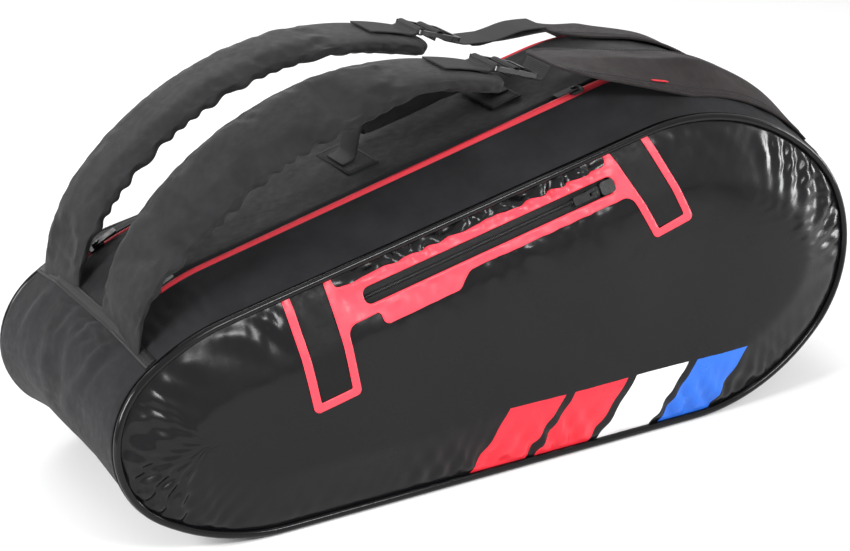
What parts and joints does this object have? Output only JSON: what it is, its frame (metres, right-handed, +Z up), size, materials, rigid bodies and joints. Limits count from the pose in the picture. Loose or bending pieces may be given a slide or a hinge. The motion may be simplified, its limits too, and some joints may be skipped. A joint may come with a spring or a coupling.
{
  "type": "racket tournament bag",
  "caption": "Padded sports racket bag with a flat base, a tall rounded head end, zipped compartments, a front pocket, a carrying handle and padded shoulder straps.",
  "frame": {"origin": "middle of the flat base on the floor, halfway along the bag and halfway through its depth", "axes": "+X from the heel end with the strap roots to the taller head end, +Y from the front panel with the pocket to the back panel, +Z up"},
  "size_m": [0.76, 0.3078, 0.3668],
  "materials": {
    "tarpaulin": "glossy coated fabric",
    "polyester": "matte woven polyester",
    "binding": "matte woven tape",
    "piping": "glossy round piping",
    "foam": "closed cell foam",
    "lining": "thin woven lining",
    "board": "stiff matte sheet",
    "zip_tape": "woven zip tape",
    "red_coil": "moulded zip coil",
    "black_coil": "moulded zip coil",
    "zip_metal": "dark plated die casting",
    "red_trim": "satin coated trim",
    "patch": "matte ribbed patch",
    "gloss_black": "polished moulding",
    "strap_cover": "smooth woven cover with a slight sheen",
    "webbing": "flat woven webbing",
    "wing": "coarse woven reinforcement",
    "grip": "padded wrap"
  },
  "bodies": {
    "bag": {"back_foam": "foam", "back_lining": "lining", "back_panel": "tarpaulin", "back_piping": "piping", "back_strap_root": "strap_cover", "back_wing_root": "wing", "back_zip_coil": "red_coil", "back_zip_stops": "zip_metal", "back_zip_tapes": "zip_tape", "base_board": "board", "compartment_divider": "lining", "front_foam": "foam", "front_lining": "lining", "front_panel": "tarpaulin", "front_piping": "piping", "front_strap_root": "strap_cover", "front_wing_root": "wing", "front_zip_coil": "red_coil", "front_zip_stops": "zip_metal", "front_zip_tapes": "zip_tape", "gusset": "polyester", "handle_anchors": "polyester", "head_seam_binding": "binding", "heel_seam_binding": "binding", "left_strap_patch": "patch", "pocket_pouch": "binding", "pocket_trim": "red_trim", "pocket_zip_coil": "black_coil", "pocket_zip_garage": "gloss_black", "pocket_zip_tapes": "zip_tape", "right_strap_patch": "patch", "top_strip_back": "polyester", "top_strip_centre": "polyester", "top_strip_front": "polyester"},
    "strap_front": {"front_strap_pad": "strap_cover", "front_strap_foam": "foam", "front_buckle_tab": "webbing", "front_webbing": "webbing", "front_wing_flap": "wing"},
    "buckle_front": {"front_buckle": "gloss_black", "front_webbing_loop": "webbing"},
    "strap_back": {"back_strap_pad": "strap_cover", "back_strap_foam": "foam", "back_buckle_tab": "webbing", "back_webbing": "webbing"},
    "buckle_back": {"back_buckle": "gloss_black", "back_webbing_loop": "webbing"},
    "handle": {"handle_webbing": "webbing", "handle_grip": "grip"},
    "pocket_slider": {"pocket_zip_slider": "zip_metal"},
    "pocket_pull": {"pocket_zip_pull": "zip_metal"},
    "slider_front_heel": {"front_zip_slider_heel": "zip_metal"},
    "pull_front_heel": {"front_zip_pull_heel": "zip_metal"},
    "slider_front_head": {"front_zip_slider_head": "zip_metal"},
    "pull_front_head": {"front_zip_pull_head": "zip_metal"},
    "slider_back_heel": {"back_zip_slider_heel": "zip_metal"},
    "pull_back_heel": {"back_zip_pull_heel": "zip_metal"},
    "slider_back_head": {"back_zip_slider_head": "zip_metal"},
    "pull_back_head": {"back_zip_pull_head": "zip_metal"}
  },
  "joints": [
    {"name": "strap_front_swing", "type": "hinge", "parent": "bag", "child": "strap_front", "pos_m": [-0.343, -0.066, 0.19], "axis": [0.9982, 0, 0.0593], "range_deg": [-5, 35]},
    {"name": "strap_back_swing", "type": "hinge", "parent": "bag", "child": "strap_back", "pos_m": [-0.343, 0.066, 0.19], "axis": [0.9982, 0, 0.0593], "range_deg": [-35, 5]},
    {"name": "buckle_front_tilt", "type": "hinge", "parent": "strap_front", "child": "buckle_front", "pos_m": [0.0122, -0.066, 0.35706], "axis": [0, 1, 0], "range_deg": [-12, 0]},
    {"name": "buckle_back_tilt", "type": "hinge", "parent": "strap_back", "child": "buckle_back", "pos_m": [0.0122, 0.066, 0.35706], "axis": [0, 1, 0], "range_deg": [-12, 0]},
    {"name": "handle_swing", "type": "hinge", "parent": "bag", "child": "handle", "pos_m": [-0.017, 0, 0.28417], "axis": [0.9716, 0, 0.2367], "range_deg": [-35, 35]},
    {"name": "slider_front_head_run", "type": "slide", "parent": "bag", "child": "slider_front_head", "axis": [0.9716, 0, 0.2367], "range_m": [-0.325, 0]},
    {"name": "pull_front_head_flip", "type": "hinge", "parent": "slider_front_head", "child": "pull_front_head", "pos_m": [0.10903, -0.062, 0.31735], "axis": [0, 1, 0], "range_deg": [0, 165]},
    {"name": "slider_front_heel_run", "type": "hinge", "parent": "bag", "child": "slider_front_heel", "pos_m": [-0.21529, -0.062, 0.03], "axis": [0, 1, 0], "range_deg": [0, 13]},
    {"name": "pull_front_heel_flip", "type": "hinge", "parent": "slider_front_heel", "child": "pull_front_heel", "pos_m": [-0.30936, -0.062, 0.20921], "axis": [0, 1, 0], "range_deg": [-55, 0]},
    {"name": "slider_back_head_run", "type": "slide", "parent": "bag", "child": "slider_back_head", "axis": [0.9716, 0, 0.2367], "range_m": [-0.25, 0.07]},
    {"name": "pull_back_head_flip", "type": "hinge", "parent": "slider_back_head", "child": "pull_back_head", "pos_m": [0.03403, 0.062, 0.29907], "axis": [0, 1, 0], "range_deg": [0, 165]},
    {"name": "slider_back_heel_run", "type": "hinge", "parent": "bag", "child": "slider_back_heel", "pos_m": [-0.21529, 0.062, 0.03], "axis": [0, 1, 0], "range_deg": [0, 13]},
    {"name": "pull_back_heel_flip", "type": "hinge", "parent": "slider_back_heel", "child": "pull_back_heel", "pos_m": [-0.30936, 0.062, 0.20921], "axis": [0, 1, 0], "range_deg": [-55, 0]},
    {"name": "pocket_slider_run", "type": "slide", "parent": "bag", "child": "pocket_slider", "axis": [0.9791, 0.0213, 0.2022], "range_m": [-0.215, 0]},
    {"name": "pocket_pull_flip", "type": "hinge", "parent": "pocket_slider", "child": "pocket_pull", "pos_m": [0.08602, -0.12924, 0.24192], "axis": [-0.1961, 0.3604, 0.9119], "range_deg": [0, 165]}
  ]
}
